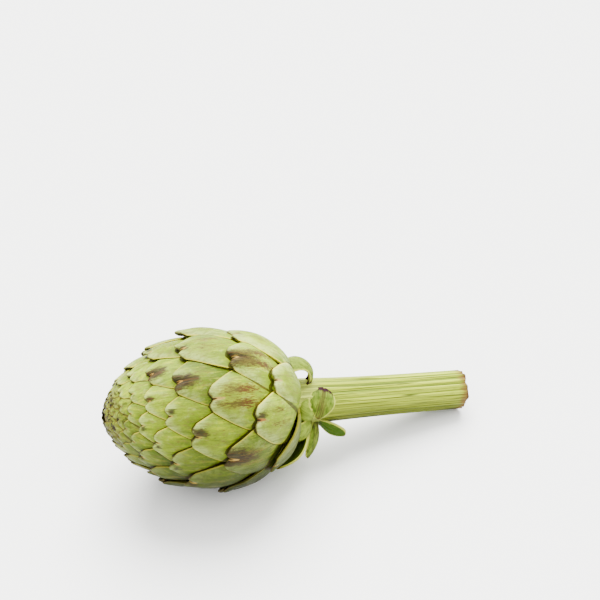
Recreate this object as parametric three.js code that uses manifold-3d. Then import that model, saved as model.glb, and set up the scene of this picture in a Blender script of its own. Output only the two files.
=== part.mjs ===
// A globe artichoke as picked: a head of overlapping two-lobed bracts on a cut, ribbed stem.
// It lies on its side, resting on the head's belly and on the stem's cut end.
//
// Millimetres, +Z up. The origin is on the surface, in the middle of the belly's flat spot. The
// plant's axis lies in the XZ plane: the apex points to -X and a little up, the stem to +X and down.
// Along the axis, x is measured from the head's widest place, and s from the apex. Round it, an
// azimuth of 0 faces up and 90 degrees faces -Y.
import * as THREE from "three";
import { mergeVertices } from "three/addons/utils/BufferGeometryUtils.js";
import Module from "manifold-3d";

// The head's outer skin, a body of revolution that the bracts' faces follow.
const HEAD_RADIUS = 42.8; // at its widest
const TIP_LENGTH = 60.5; // from the apex to the widest place
const BASE_LENGTH = 45.5; // from there to where the skin would close
const TIP_POWER = 1 / 1.5; // over a half is pointed
const BASE_POWER = 0.36; // under a half is blunt
const SKIN_END_RADIUS = 12; // where it meets the neck
const SKIN_STEPS = 400;

// On one side the base is drawn in towards the widest place.
const TUCK = 0.12; // by this share of x
const TUCK_SIDE = 80; // most at this azimuth
const TUCK_SPREAD = 32;

// Where the bracts sit: each is one golden angle further round and one growth step further down.
const GOLDEN_ANGLE = 137.508;
const FIRST_AZIMUTH = -3.7; // of the bract at place 0
const FIRST_NOTCH = 20.4; // from the apex to its notch
const GROWTH = 0.0495; // share by which that grows from one place to the next
const LOPSIDED = 0.09; // share by which the notches are further down on the -Y side
const LOPSIDED_MIDDLE = 0.4; // sine of the azimuth at which they are neither up nor down
const INNERMOST = -34; // the growth law's first place
const OUTERMOST = 31; // and its last
const OUT_OF_LINE = { 14: -3, 21: 3.5, 27: 2, 29: -4.8 }; // how far these notches have moved down
const CROWN_BRACTS = 18; // tips packed evenly round the apex, inside the first place
const CROWN_RADIUS = 10.8;
const TIGHT_SIDE = 59; // the spiral is drawn together towards this azimuth
const TIGHT_BY = 8.4; // by up to this many degrees
const COVERING = 8; // a bract is covered from the tip of the one this many places further down
const STANDING_OUT = [27, 30]; // outermost bracts that don't follow the tuck

// A bract at the head's widest place. Nearer the apex and the base they are smaller.
const BRACT_HALF_WIDTH = 23;
const TIP_HALF_WIDTH = 5.6;
const SPREAD = 0.7; // how fast it widens behind the tip
const NOTCH_DEPTH = 2.6; // between the tip's two lobes
const NOTCH_HALF_WIDTH = 0.62; // as a share of the tip's half width
const LAYER = 2.3; // how high its tip stands over the bract beneath
const BELLY = 1.2; // how far its middle bulges
const MARGIN_SINK = 0.9; // how far its margins lie lower
const NARROWING = 0.45; // share of its width that it loses from the widest place to the neck
const FACE_RAISE = 1; // how far it stands over the skin
const ORDER_RAISE = 0.05; // and how much further than the bract one place further in
const MIDDLE_PLACE = 20; // the bract that stands over the skin by the first alone
const SINK = 4.2; // how deep its margins go into the head
const HEART_INSET = 3.2; // from the skin to the solid heart that carries the bracts
const BRACT_CELLS = [6, 4]; // across and along
const SMALL_BRACT_CELLS = [4, 2];
const SMALL_UNDER = 0.8; // share of the full size

// Bracts that stand loose on the neck. x and azimuth place the root, which is this far from the
// axis. The heading is turned from the apex side towards a larger azimuth. The bract rises from the
// axis at the first angle, bends forward by the second over its length, and its margins curl under
// by a share of the half width. It is widest at a share of its length, and a high power makes the
// tip blunt.
const ARCHED = {
  x: 53.1, azimuth: -9, root: 11.5, heading: -17, rise: 116, bend: 165,
  length: 28.5, half: 7.5, curl: 0.5, widest: 0.79, blunt: 13,
};
const PALE_FAN = {
  x: 52.4, azimuth: 88, root: 13, heading: -19.5, rise: 38.5, bend: 130,
  length: 14, half: 9.2, curl: 0.5, widest: 0.8, blunt: 14,
};
const SMALL_FAN = {
  x: 52.2, azimuth: 101.5, root: 13, heading: 33, rise: 72, bend: 66.5,
  length: 14, half: 7.9, curl: 0.5, widest: 0.7, blunt: 12,
};
const BROAD = {
  x: 52, azimuth: 148.5, root: 10, heading: -25, rise: 73.5, bend: 53.5,
  length: 32.8, half: 11.5, curl: 0.29, widest: 0.6, blunt: 13,
};
const BEHIND = {
  x: 51, azimuth: -95, root: 10, heading: 5, rise: 84, bend: 90,
  length: 28, half: 8, curl: 0.35, widest: 0.6, blunt: 8,
};
const BEHIND_BELOW = {
  x: 51.5, azimuth: -150, root: 10, heading: -8, rise: 86, bend: 100,
  length: 25, half: 7, curl: 0.35, widest: 0.6, blunt: 8,
};
const CLASPING = {
  x: 59.8, azimuth: 16.5, root: 12, heading: 69.5, rise: 9, bend: 68,
  length: 17.7, half: 7.6, curl: 0.14, widest: 0.49, blunt: 3.3,
};
const HANGING = {
  x: 56.3, azimuth: 113, root: 12.5, heading: 75, rise: 69, bend: 49,
  length: 21.3, half: 3.7, curl: 0.49, widest: 0.44, blunt: 10,
};
const POINTING_BACK = {
  x: 57.8, azimuth: 118, root: 11.4, heading: 165, rise: 30, bend: 7,
  length: 18.3, half: 4.9, curl: 0.05, widest: 0.58, blunt: 14,
};
const LOOSE_BRACTS = [
  ARCHED,
  PALE_FAN,
  SMALL_FAN,
  BROAD,
  BEHIND,
  BEHIND_BELOW,
  CLASPING,
  HANGING,
  POINTING_BACK,
];
const LOOSE_THICKNESS = 1.4;
const LOOSE_ROOT = 0.45; // half width at the root, as a share of the half width
const LOOSE_CELLS = [4, 6];
const FULL_AT = 5 / 9; // a share of the way round the half wave that gives the width

// The stem. Its upper end, the neck, is one with the head.
const STEM_RADIUS = 10.4;
const NECK_START_X = 38; // inside the head
const NECK_X = 68; // where the neck ends and the stem's own solid begins
const BASE_X = 53; // where the stem is wider by the whole flare
const CUT_X = 146.5;
const STEM_RIBS = 19;
const RIB_HEIGHT = 0.35;
const NECK_FLARE = 2; // wider at the base of the head
const FLARE_LENGTH = 30; // over which that falls to about a third
const CUT_RAGGED = 0.5; // how uneven the cut's rim is
const STALK_RING = 12; // from one ring of its facets to the next
const JOINT_GAP = 0.3; // between the head and the stem

// How it lies.
const LEAN = 13.05; // degrees from level, down towards the cut
const AXIS_HEIGHT = 43.2; // of the axis over the surface at the head's widest place
const REST_X = 5.5; // from there to the middle of the flat spot, level

const rad = THREE.MathUtils.degToRad;
const wasm = await Module();
wasm.setup();

// ---- solids --------------------------------------------------------------------------------

function solidOf(geometry) {
  const bare = geometry.clone();
  bare.deleteAttribute("normal");
  bare.deleteAttribute("uv");
  const merged = mergeVertices(bare, 1e-4);
  return new wasm.Manifold(
    new wasm.Mesh({
      numProp: 3,
      vertProperties: new Float32Array(merged.getAttribute("position").array),
      triVerts: new Uint32Array(merged.index.array),
    }),
  );
}

function geometryOf(solid) {
  const mesh = solid.getMesh();
  const geometry = new THREE.BufferGeometry();
  geometry.setAttribute("position", new THREE.BufferAttribute(new Float32Array(mesh.vertProperties), 3));
  geometry.setIndex(new THREE.BufferAttribute(new Uint32Array(mesh.triVerts), 1));
  geometry.computeVertexNormals();
  return geometry;
}

// Grows solids together. Hollows sealed between them are filled, and loose scraps are dropped.
function grownTogether(solids) {
  const bodies = wasm.Manifold.union(solids).decompose();
  return bodies.reduce((largest, body) => (body.volume() > largest.volume() ? body : largest));
}

// A point at distance x along the axis and r away from it.
function around(x, azimuth, r) {
  return new THREE.Vector3(x, -r * Math.sin(azimuth), r * Math.cos(azimuth));
}

// A sheet bent out of a flat box. The box's width gives u, from -1 to 1 across, its height gives t,
// from 0 at the tip to 1 at the root, and its depth gives the face, 0 for outer and 1 for inner.
function bentSheet([columns, rows], place) {
  const box = new THREE.BoxGeometry(2, 1, 1, columns, rows, 1);
  const position = box.getAttribute("position");
  for (let i = 0; i < position.count; i++) {
    const point = place(position.getX(i), 0.5 - position.getY(i), 0.5 - position.getZ(i));
    position.setXYZ(i, point.x, point.y, point.z);
  }
  return solidOf(box);
}

// ---- the head's skin -----------------------------------------------------------------------

function skinRadius(x) {
  const share = x < 0 ? x / TIP_LENGTH : x / BASE_LENGTH;
  return HEAD_RADIUS * Math.max(0, 1 - share * share) ** (x < 0 ? TIP_POWER : BASE_POWER);
}

// The x at which the skin has come down to the neck.
const SKIN_END = BASE_LENGTH * Math.sqrt(1 - (SKIN_END_RADIUS / HEAD_RADIUS) ** (1 / BASE_POWER));

// The skin's profile by the distance along it from the apex. Its steps crowd at both ends.
const skin = [];
for (let i = 0; i <= SKIN_STEPS; i++) {
  const s = ((TIP_LENGTH + SKIN_END) * (1 - Math.cos((Math.PI * i) / SKIN_STEPS))) / 2;
  const radius = skinRadius(s - TIP_LENGTH);
  const last = skin[i - 1];
  const along = last ? last.along + Math.hypot(s - last.s, radius - last.radius) : 0;
  skin.push({ along, s, radius });
}
const SKIN_LENGTH = skin[SKIN_STEPS].along;

// The skin where the given key, "along" or "s", has the given value.
function skinWhere(key, value) {
  const wanted = THREE.MathUtils.clamp(value, 0, skin[SKIN_STEPS][key]);
  const i = Math.max(1, skin.findIndex((step) => step[key] >= wanted));
  const a = skin[i - 1];
  const b = skin[i];
  const share = (wanted - a[key]) / (b[key] - a[key]);
  const mix = (name) => a[name] + (b[name] - a[name]) * share;
  const slope = Math.atan2(b.radius - a.radius, b.s - a.s);
  return { along: mix("along"), x: mix("s") - TIP_LENGTH, radius: mix("radius"), slope };
}

// ---- the head's bracts ---------------------------------------------------------------------

// How far along the skin its widest place is.
const WIDEST_ALONG = skinWhere("s", TIP_LENGTH).along;

// Where x comes to lie at an azimuth when the base is drawn in on one side.
function tucked(x, azimuth) {
  const beside = THREE.MathUtils.euclideanModulo(azimuth - rad(TUCK_SIDE) + Math.PI, 2 * Math.PI) - Math.PI;
  return x > 0 ? x * (1 - TUCK * Math.exp(-((beside / rad(TUCK_SPREAD)) ** 2))) : x;
}

// How far along the skin a bract's notch is from the apex.
function notchAlong(place, azimuth) {
  if (place < INNERMOST) {
    const share = (place - INNERMOST + CROWN_BRACTS + 0.5) / CROWN_BRACTS;
    return CROWN_RADIUS * Math.sqrt(share);
  }
  const lopsided = 1 + LOPSIDED * (Math.sin(azimuth) - LOPSIDED_MIDDLE);
  const level = FIRST_NOTCH * Math.exp(GROWTH * place) * lopsided;
  return skinWhere("s", level + (OUT_OF_LINE[place] ?? 0)).along;
}

// A bract's azimuth, its notch, its size as a share of a full one's, and how much of it shows.
function bractAt(place) {
  const turned = rad(FIRST_AZIMUTH + GOLDEN_ANGLE * place);
  const azimuth = turned - rad(TIGHT_BY) * Math.sin(turned - rad(TIGHT_SIDE));
  const notch = notchAlong(place, azimuth);
  const size = skinWhere("along", notch + 4).radius / HEAD_RADIUS;
  const outermost = place + COVERING > OUTERMOST;
  const next = outermost ? SKIN_LENGTH : notchAlong(place + COVERING, azimuth);
  const showing = Math.max(next - notch, 4 + 10 * size);
  const raise = FACE_RAISE + ORDER_RAISE * size * (place - MIDDLE_PLACE);
  const standsOut = STANDING_OUT.includes(place);
  return { azimuth, notch, size, showing, raise, standsOut };
}

// Its half width at distance d behind its tip: nearly straight margins up to its full width, and
// narrower again towards its root.
function halfWidthAt(bract, d) {
  const straight = TIP_HALF_WIDTH + (SPREAD * d) / bract.size;
  const full = bract.size ** 0.75 * (straight ** -4 + BRACT_HALF_WIDTH ** -4) ** -0.25;
  const along = bract.notch - NOTCH_DEPTH * bract.size + d;
  const below = THREE.MathUtils.clamp((along - WIDEST_ALONG) / (SKIN_LENGTH - WIDEST_ALONG), 0, 1);
  return full * (1 - NARROWING * below ** 2);
}

// How far back the tip's edge lies at u: a notch between two lobes with round shoulders.
function tipEdge(bract, u) {
  const notch = Math.max(0, 1 - Math.abs(u) / NOTCH_HALF_WIDTH) ** 1.4;
  const shoulder = 0.9 * Math.abs(u) ** 5;
  return NOTCH_DEPTH * bract.size * (notch + shoulder);
}

// How high its face stands over the skin: it bulges in the middle and dips under the next tips.
function faceHeight(bract, d, u) {
  const wave = Math.sin(Math.PI * Math.min(1, (d + 2) / (1.5 * bract.showing)));
  const belly = BELLY * bract.size * (1 - u * u) * wave;
  const sunk = MARGIN_SINK * bract.size * Math.abs(u) ** 1.3 * (1 - Math.exp(-d / (5 * bract.size)));
  const layer = LAYER * (0.45 + 0.55 * bract.size);
  return bract.raise + belly - sunk - (layer * d) / bract.showing;
}

function bractSolid(bract) {
  const tip = bract.notch - NOTCH_DEPTH * bract.size;
  const length = Math.min(1.5 * bract.showing + 4, SKIN_LENGTH - tip);
  const sink = Math.min(SINK, 1.2 + 5 * bract.size);
  return bentSheet(bract.size < SMALL_UNDER ? SMALL_BRACT_CELLS : BRACT_CELLS, (u, t, face) => {
    const edge = tipEdge(bract, u);
    const d = edge + (length - edge) * t ** 1.3;
    const under = skinWhere("along", tip + d);
    const azimuth = bract.azimuth - (u * halfWidthAt(bract, d)) / Math.max(under.radius, 3);
    const height = faceHeight(bract, d, u) - sink * face;
    const radius = Math.max(0.05, under.radius + height * Math.cos(under.slope));
    const x = under.x - height * Math.sin(under.slope);
    return around(bract.standsOut ? x : tucked(x, azimuth), azimuth, radius);
  });
}

// The heart that the bracts are rooted in, turned from the skin's profile.
function heartSolid() {
  const steps = 16;
  const profile = [];
  for (let i = 0; i <= steps; i++) {
    const at = skinWhere("along", (SKIN_LENGTH * i) / steps);
    const radius = i === 0 ? 0 : Math.max(0, at.radius - HEART_INSET * Math.cos(at.slope));
    profile.push(new THREE.Vector2(radius, at.x + HEART_INSET * Math.sin(at.slope)));
  }
  profile.push(new THREE.Vector2(0, profile[steps].y));
  const heart = new THREE.LatheGeometry(profile, 32).rotateZ(-Math.PI / 2);
  const position = heart.getAttribute("position");
  for (let i = 0; i < position.count; i++) {
    const azimuth = Math.atan2(-position.getY(i), position.getZ(i));
    position.setX(i, tucked(position.getX(i), azimuth));
  }
  return solidOf(heart);
}

function headSolid() {
  const neck = stalkSolid(NECK_START_X, NECK_X, 0);
  const solids = [heartSolid(), neck, ...LOOSE_BRACTS.map(looseBract)];
  for (let place = INNERMOST - CROWN_BRACTS; place <= OUTERMOST; place++) {
    solids.push(bractSolid(bractAt(place)));
  }
  return grownTogether(solids);
}

// ---- loose bracts --------------------------------------------------------------------------

// A sheet whose midrib is an arc that leaves the root steeply and bends towards where it heads.
function looseBract({ x, azimuth, root, heading, rise, bend, length, half, curl, widest, blunt }) {
  const out = around(0, rad(azimuth), 1);
  const round = around(0, rad(azimuth + 90), 1);
  const ahead = round.clone().multiplyScalar(Math.sin(rad(heading)));
  ahead.x -= Math.cos(rad(heading));
  const across = ahead.clone().cross(out);
  const turn = rad(bend) / length;
  const crowding = Math.log(FULL_AT) / Math.log(widest);
  return bentSheet(LOOSE_CELLS, (u, t, face) => {
    const l = length * (1 - t);
    const angle = rad(rise) - turn * l;
    const reach = (Math.sin(rad(rise)) - Math.sin(angle)) / turn;
    const lift = (Math.cos(angle) - Math.cos(rad(rise))) / turn;
    const full = LOOSE_ROOT + (1 - LOOSE_ROOT) * Math.sin((Math.PI / 2 / FULL_AT) * (1 - t) ** crowding);
    const width = half * full * Math.sqrt(Math.max(0.04, 1 - (1 - t) ** blunt));
    const normal = out.clone().multiplyScalar(Math.cos(angle)).addScaledVector(ahead, -Math.sin(angle));
    return around(x, rad(azimuth), root)
      .addScaledVector(ahead, reach)
      .addScaledVector(out, lift)
      .addScaledVector(across, u * width)
      .addScaledVector(normal, LOOSE_THICKNESS * (0.5 - face) - curl * width * u * u);
  });
}

// ---- the stem ------------------------------------------------------------------------------

// A length of the stalk. Its end is ragged by the given measure.
function stalkSolid(start, end, raggedness) {
  const length = end - start;
  const rings = Math.round(length / STALK_RING);
  const stalk = new THREE.CylinderGeometry(1, 1, length, 2 * STEM_RIBS, rings).rotateZ(-Math.PI / 2);
  const position = stalk.getAttribute("position");
  for (let i = 0; i < position.count; i++) {
    const azimuth = Math.atan2(-position.getY(i), position.getZ(i));
    const share = Math.hypot(position.getY(i), position.getZ(i));
    const along = position.getX(i) / length + 0.5;
    const x = start + length * along;
    const rib = RIB_HEIGHT * Math.cos(STEM_RIBS * azimuth) * (0.7 + 0.3 * Math.sin(3 * azimuth + 1));
    const flare = NECK_FLARE * Math.min(1, Math.exp((BASE_X - x) / FLARE_LENGTH));
    const ragged = raggedness * share * (Math.sin(5 * azimuth + 2) + 0.6 * Math.sin(11 * azimuth));
    const point = around(along > 0.99 ? x + ragged : x, azimuth, share * (STEM_RADIUS + rib + flare));
    position.setXYZ(i, point.x, point.y, point.z);
  }
  return solidOf(stalk);
}

function stemSolid() {
  return stalkSolid(NECK_X + JOINT_GAP, CUT_X, CUT_RAGGED);
}

// ---- the whole plant -----------------------------------------------------------------------

// Lays a solid down as the plant rests, and presses flat what would reach under the surface.
function laidDown(solid) {
  const geometry = geometryOf(solid).rotateY(rad(LEAN)).translate(-REST_X, 0, AXIS_HEIGHT);
  const below = new THREE.BoxGeometry(400, 400, 20).translate(0, 0, -10);
  return geometryOf(solidOf(geometry).subtract(solidOf(below)));
}

function piece(name, solid, color, roughness) {
  const material = new THREE.MeshStandardMaterial({ color, roughness, metalness: 0 });
  const mesh = new THREE.Mesh(laidDown(solid), material);
  mesh.name = name;
  return mesh;
}

const artichoke = new THREE.Group();
artichoke.add(piece("head", headSolid(), 0xa3ae66, 0.6));
artichoke.add(piece("stem", stemSolid(), 0xb0ba70, 0.65));

export default artichoke;
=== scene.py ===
import math

import bpy
import numpy as np
from mathutils import Matrix, Vector


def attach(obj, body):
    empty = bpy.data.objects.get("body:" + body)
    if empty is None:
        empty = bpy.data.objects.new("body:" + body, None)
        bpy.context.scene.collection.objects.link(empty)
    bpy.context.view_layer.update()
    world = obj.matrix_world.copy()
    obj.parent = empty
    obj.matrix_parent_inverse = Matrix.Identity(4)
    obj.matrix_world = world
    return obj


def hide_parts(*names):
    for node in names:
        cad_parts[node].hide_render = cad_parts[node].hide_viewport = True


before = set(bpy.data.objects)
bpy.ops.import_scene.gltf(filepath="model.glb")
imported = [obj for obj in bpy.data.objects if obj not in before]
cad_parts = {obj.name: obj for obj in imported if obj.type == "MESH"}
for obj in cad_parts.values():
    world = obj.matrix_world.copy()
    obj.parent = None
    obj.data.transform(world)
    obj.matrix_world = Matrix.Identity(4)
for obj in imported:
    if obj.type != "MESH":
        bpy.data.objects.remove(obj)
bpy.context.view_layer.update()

# ---- The heart -----------------------------------------------------------------------------
# Under the bracts that show, a head is imported solid with younger ones. The heart stands for them:
# one body just inside the head's skin, which is pointed at the apex and blunt at the base. Its dark
# green is painted shade in the gaps between the bracts, and it is dry and brown in the middle of
# the crown.

# How the plant lies: on its side, leaning on its belly. Sizes are in millimetres.
MM = 0.001
LEAN = math.radians(13.05)
AXIS_HEIGHT = 43.2
REST_X = 5.5
REST_GAP = 0.04

# The skin of the head, whose base is tucked in on one side.
HEAD_RADIUS = 42.8
TIP_LENGTH = 60.5
BASE_LENGTH = 45.5
TIP_POWER = 2 / 3
BASE_POWER = 0.36
SKIN_POINTS = 401
SKIN_END_RADIUS = 12
SKIN_END = BASE_LENGTH * math.sqrt(1 - (SKIN_END_RADIUS / HEAD_RADIUS) ** (1 / BASE_POWER))
LEAST_RADIUS = 0.05
TUCK = 0.12
TUCK_SIDE = math.radians(80)
TUCK_SPREAD = math.radians(32)

# How deep the heart lies, and where its colour changes to the crown's.
HEART_INSET = 5.5
HEART_SHALLOW = 0.2
HEART_DEEP_FROM = 24
HEART_CLOSING = 0.04
APEX_SHARE = 0.001
CROWN_FROM = -56 * MM
CROWN_FULL = -61 * MM

# Shapes are worked out in millimetres along the plant's axis and round it, before the plant is laid
# on its side. The azimuth is 0 on top and 90 degrees at the front. The head's profile runs from the
# apex to the neck, and "along" is the way over the skin from the apex.
skin_s = (TIP_LENGTH + SKIN_END) * (1 - np.cos(np.pi * np.linspace(0, 1, SKIN_POINTS))) / 2
skin_share = (skin_s - TIP_LENGTH) / np.where(skin_s < TIP_LENGTH, TIP_LENGTH, BASE_LENGTH)
skin_power = np.where(skin_s < TIP_LENGTH, TIP_POWER, BASE_POWER)
skin_radius = HEAD_RADIUS * np.maximum(0, 1 - skin_share**2) ** skin_power
skin_steps = np.hypot(np.diff(skin_s), np.diff(skin_radius))
skin_along = np.concatenate([[0], np.cumsum(skin_steps)])
skin_slope = np.arctan2(np.gradient(skin_radius), np.gradient(skin_s))
SKIN_LENGTH = float(skin_along[-1])
WIDEST_ALONG = float(np.interp(TIP_LENGTH, skin_s, skin_along))


def lay_down(x, azimuth, radius):
    """Metres in the finished frame, from millimetres along, round and out from the plant's axis.
    What would reach under the surface is pressed flat on it."""
    sideways = -radius * np.sin(azimuth)
    up = radius * np.cos(azimuth)
    level = x * math.cos(LEAN) + up * math.sin(LEAN) - REST_X
    height = up * math.cos(LEAN) - x * math.sin(LEAN) + AXIS_HEIGHT
    return np.stack([level, sideways + 0 * level, np.maximum(height, REST_GAP)], axis=-1) * MM


def half_turn(angle):
    """The same angle, between half a turn back and half a turn on."""
    return (angle + np.pi) % (2 * np.pi) - np.pi


def on_skin(along, height, azimuth, tuck=TUCK):
    """Places over the head's skin, whose base is tucked in on one side."""
    slope = np.interp(along, skin_along, skin_slope)
    x = np.interp(along, skin_along, skin_s) - TIP_LENGTH - height * np.sin(slope)
    radius = np.interp(along, skin_along, skin_radius) + height * np.cos(slope)
    beside = half_turn(azimuth - TUCK_SIDE)
    shorter = 1 - tuck * np.exp(-((beside / TUCK_SPREAD) ** 2))
    return lay_down(np.where(x > 0, x * shorter, x), azimuth, np.maximum(LEAST_RADIUS, radius))


def corners_of(piece):
    flat = np.empty(len(piece.data.vertices) * 3)
    piece.data.vertices.foreach_get("co", flat)
    return flat.reshape(-1, 3)


def move_corners(piece, places):
    piece.data.vertices.foreach_set("co", np.asarray(places, dtype=np.float32).ravel())
    piece.data.update()


def ball_to_stretch(name, segments, rings):
    """A ball, each corner's share of the way down it, and its azimuth."""
    bpy.ops.object.select_all(action="DESELECT")
    bpy.ops.mesh.primitive_uv_sphere_add(segments=segments, ring_count=rings, radius=1)
    ball = bpy.context.object
    ball.name = name
    corners = corners_of(ball)
    down = np.arccos(np.clip(corners[:, 2], -1, 1)) / np.pi
    return ball, down, np.arctan2(corners[:, 1], corners[:, 0])


def face_outwards():
    bpy.ops.object.mode_set(mode="EDIT")
    bpy.ops.mesh.select_all(action="SELECT")
    bpy.ops.mesh.normals_make_consistent(inside=False)
    bpy.ops.object.mode_set(mode="OBJECT")


def srgb(red, green, blue):
    """A linear colour from the 0 to 255 values that a paint chart gives."""
    values = [v / 255 for v in (red, green, blue)]
    return tuple(v / 12.92 if v <= 0.04045 else ((v + 0.055) / 1.055) ** 2.4 for v in values) + (1,)


def new_material(name):
    material = bpy.data.materials.new(name)
    material.use_nodes = True
    tree = material.node_tree
    return material, tree, tree.nodes["Principled BSDF"]


def plug(tree, socket, value):
    """Join a socket to another one, or set its value."""
    if isinstance(value, bpy.types.NodeSocket):
        tree.links.new(value, socket)
    elif value is not None:
        socket.default_value = value


def fade(tree, value, start, end, low=0.0, high=1.0):
    """A smooth step from low to high as the value goes from start to end."""
    node = tree.nodes.new("ShaderNodeMapRange")
    node.interpolation_type = "SMOOTHSTEP"
    for socket, given in zip(node.inputs, (value, start, end, low, high)):
        plug(tree, socket, given)
    return node.outputs[0]


def mix(tree, share, a, b, kind="MIX"):
    node = tree.nodes.new("ShaderNodeMix")
    node.data_type = "RGBA"
    node.blend_type = kind
    plug(tree, node.inputs[0], share)
    plug(tree, node.inputs[6], a)
    plug(tree, node.inputs[7], b)
    return node.outputs[2]


def noise(tree, place, scale, detail=3.0, roughness=0.5):
    node = tree.nodes.new("ShaderNodeTexNoise")
    plug(tree, node.inputs["Vector"], place)
    node.inputs["Scale"].default_value = scale
    node.inputs["Detail"].default_value = detail
    node.inputs["Roughness"].default_value = roughness
    return node.outputs["Fac"]


def split(tree, vector):
    node = tree.nodes.new("ShaderNodeSeparateXYZ")
    plug(tree, node.inputs[0], vector)
    return node.outputs[:3]


def object_place(tree):
    return tree.nodes.new("ShaderNodeTexCoord").outputs["Object"]


def bump(tree, height, distance, strength=1.0, under=None):
    node = tree.nodes.new("ShaderNodeBump")
    plug(tree, node.inputs["Height"], height)
    node.inputs["Distance"].default_value = distance
    node.inputs["Strength"].default_value = strength
    plug(tree, node.inputs["Normal"], under)
    return node.outputs[0]


heart_skin, tree, shader = new_material("heart_skin")
patches = noise(tree, object_place(tree), 220, 4)
in_crown = fade(tree, split(tree, object_place(tree))[0], CROWN_FROM, CROWN_FULL)
# Painted shade: the heart is dark green where it shows in the gaps between the bracts.
painted_gap_shade = mix(tree, patches, srgb(18, 26, 3), srgb(40, 50, 8))
dry = mix(tree, fade(tree, patches, 0.4, 0.6), srgb(46, 36, 14), srgb(104, 94, 26))
plug(tree, shader.inputs["Base Color"], mix(tree, in_crown, painted_gap_shade, dry))
plug(tree, shader.inputs["Normal"], bump(tree, patches, 0.3 * MM))
shader.inputs["Roughness"].default_value = 0.8

heart, heart_down, heart_round = ball_to_stretch("heart", 72, 60)
heart_along = heart_down * SKIN_LENGTH
heart_inset = HEART_INSET * np.clip(heart_along / HEART_DEEP_FROM, HEART_SHALLOW, 1)
heart_place = on_skin(heart_along, -heart_inset, heart_round)
heart_tip = lay_down(HEART_SHALLOW * HEART_INSET - TIP_LENGTH, 0, 0.0)
heart_place = np.where((heart_down < APEX_SHARE)[:, None], heart_tip, heart_place)
heart_end = lay_down(np.full(len(heart_down), SKIN_END), heart_round, 0.0)
heart_closing = np.clip((1 - heart_down) / HEART_CLOSING, 0, 1)
move_corners(heart, heart_end + (heart_place - heart_end) * heart_closing[:, None])
face_outwards()
bpy.ops.object.shade_smooth()
heart.data.materials.append(heart_skin)
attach(heart, "root")
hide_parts("head")

# ---- The head's bracts ---------------------------------------------------------------------
# A bract is a thick, leathery scale that grows from the head's base and fits its curve, so only its
# tip shows over the older one below it. A notch splits the tip into two plump lobes, with a shallow
# valley behind it, and the margins are thin and pale.

# Where a bract sits. They are counted from the crown outwards: each grows one golden angle further
# round than the one inside it and one growth step further down, and the one COVERING places
# further out lies over it. Some sit out of that line, by so many millimetres.
GOLDEN_ANGLE = 137.508
FIRST_AZIMUTH = -3.7
TIGHT_SIDE = 59
TIGHT_BY = 8.4
FIRST_NOTCH = 20.4
GROWTH = 0.0495
LOPSIDED = 0.09
LOPSIDED_MIDDLE = 0.4
INNERMOST = -34
MIDDLE_FROM = -14
OUTER_FROM = 9
OUTERMOST = 31
OUT_OF_LINE = {14: -3, 21: 3.5, 27: 2, 29: -4.8}
CROWN_BRACTS = 22
CROWN_RADIUS = 10.8
COVERING = 8
LEAST_SHOWING = 4
LEAST_SHOWING_BY_SIZE = 10
SIZED_BEHIND = 4

# Its outline, for a bract where the head is widest.
BRACT_HALF_WIDTH = 23
TIP_HALF_WIDTH = 5.6
SPREAD = 0.7
WIDTH_BY_SIZE = 0.75
WIDENING_ROUNDED = -4.0
NARROWING = 0.45
LENGTH_BY_SHOWING = 2.3
LENGTH_MORE = 6
ROWS_CROWDED = 1.6
LEAST_GIRTH = 3
NOTCH_DEPTH = 2.6
NOTCH_HALF_WIDTH = 0.62
NOTCH_POINTED = 1.4
SHOULDER_DROP = 0.9
SHOULDER_POWER = 5
SHOULDER_UNEVEN = 0.18
SHOULDER_SEED = 2000

# Its relief over the head's skin. Two bracts stand clear where the base is tucked in, and two hug
# the head, with their tips pressed down by so many millimetres.
STANDING_OUT = (27, 30)
HUGGING = {26: 2.4, 31: 2.4}
HUG_REACH = 10
BRACT_SEED = 1000
ASLANT = 0.8
LAYER = 2.3
LAYER_LEAST = 0.45
BELLY = 1.2
BELLY_START = 2
BELLY_LENGTH = 1.5
FACE_RAISE = 1.0
ORDER_RAISE = 0.05
ORDER_LEVEL = 20
LOBE_PUFF = 0.9
LOBE_OUT = 3.9
LOBE_HALF_WIDTH = 2.6
LOBE_REACH = 5
VALLEY_DEPTH = 1.3
VALLEY_HALF_WIDTH = 1.4
VALLEY_REACH = 7
EDGE_ROUNDING = 1.1
EDGE_REACH = 0.8
EDGE_REACH_ALONG = 14
MARGIN_WAVE = 0.3
MARGIN_WAVE_LENGTH = 6
MARGIN_SINK = 0.9
MARGIN_SINK_POWER = 1.3
MARGIN_SINK_REACH = 5
TILT = 0.35
ROLLING = 0.16
ROLL_ALONG = 4.1
ROLL_ACROSS = 3.7
FINE_ROLLING = 0.7
FINE_ROLL_ALONG = (9, 7)
FINE_ROLL_ACROSS = 1.9


def notch_along(place, azimuth):
    if place < INNERMOST:
        share = (place - INNERMOST + CROWN_BRACTS + 0.5) / CROWN_BRACTS
        return CROWN_RADIUS * math.sqrt(share)
    lopsided = 1 + LOPSIDED * (math.sin(azimuth) - LOPSIDED_MIDDLE)
    level = FIRST_NOTCH * math.exp(GROWTH * place) * lopsided
    return float(np.interp(level + OUT_OF_LINE.get(place, 0), skin_s, skin_along))


def bract_at(place):
    """A bract's azimuth, how far down its notch lies, its size (1 where the head is widest) and how
    much of it shows."""
    turned = math.radians(FIRST_AZIMUTH + GOLDEN_ANGLE * place)
    azimuth = turned - math.radians(TIGHT_BY) * math.sin(turned - math.radians(TIGHT_SIDE))
    notch = notch_along(place, azimuth)
    size = float(np.interp(notch + SIZED_BEHIND, skin_along, skin_radius)) / HEAD_RADIUS
    outermost = place + COVERING > OUTERMOST
    covered_from = SKIN_LENGTH if outermost else notch_along(place + COVERING, azimuth)
    least = LEAST_SHOWING + LEAST_SHOWING_BY_SIZE * size
    return azimuth, notch, size, max(covered_from - notch, least)


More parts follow.
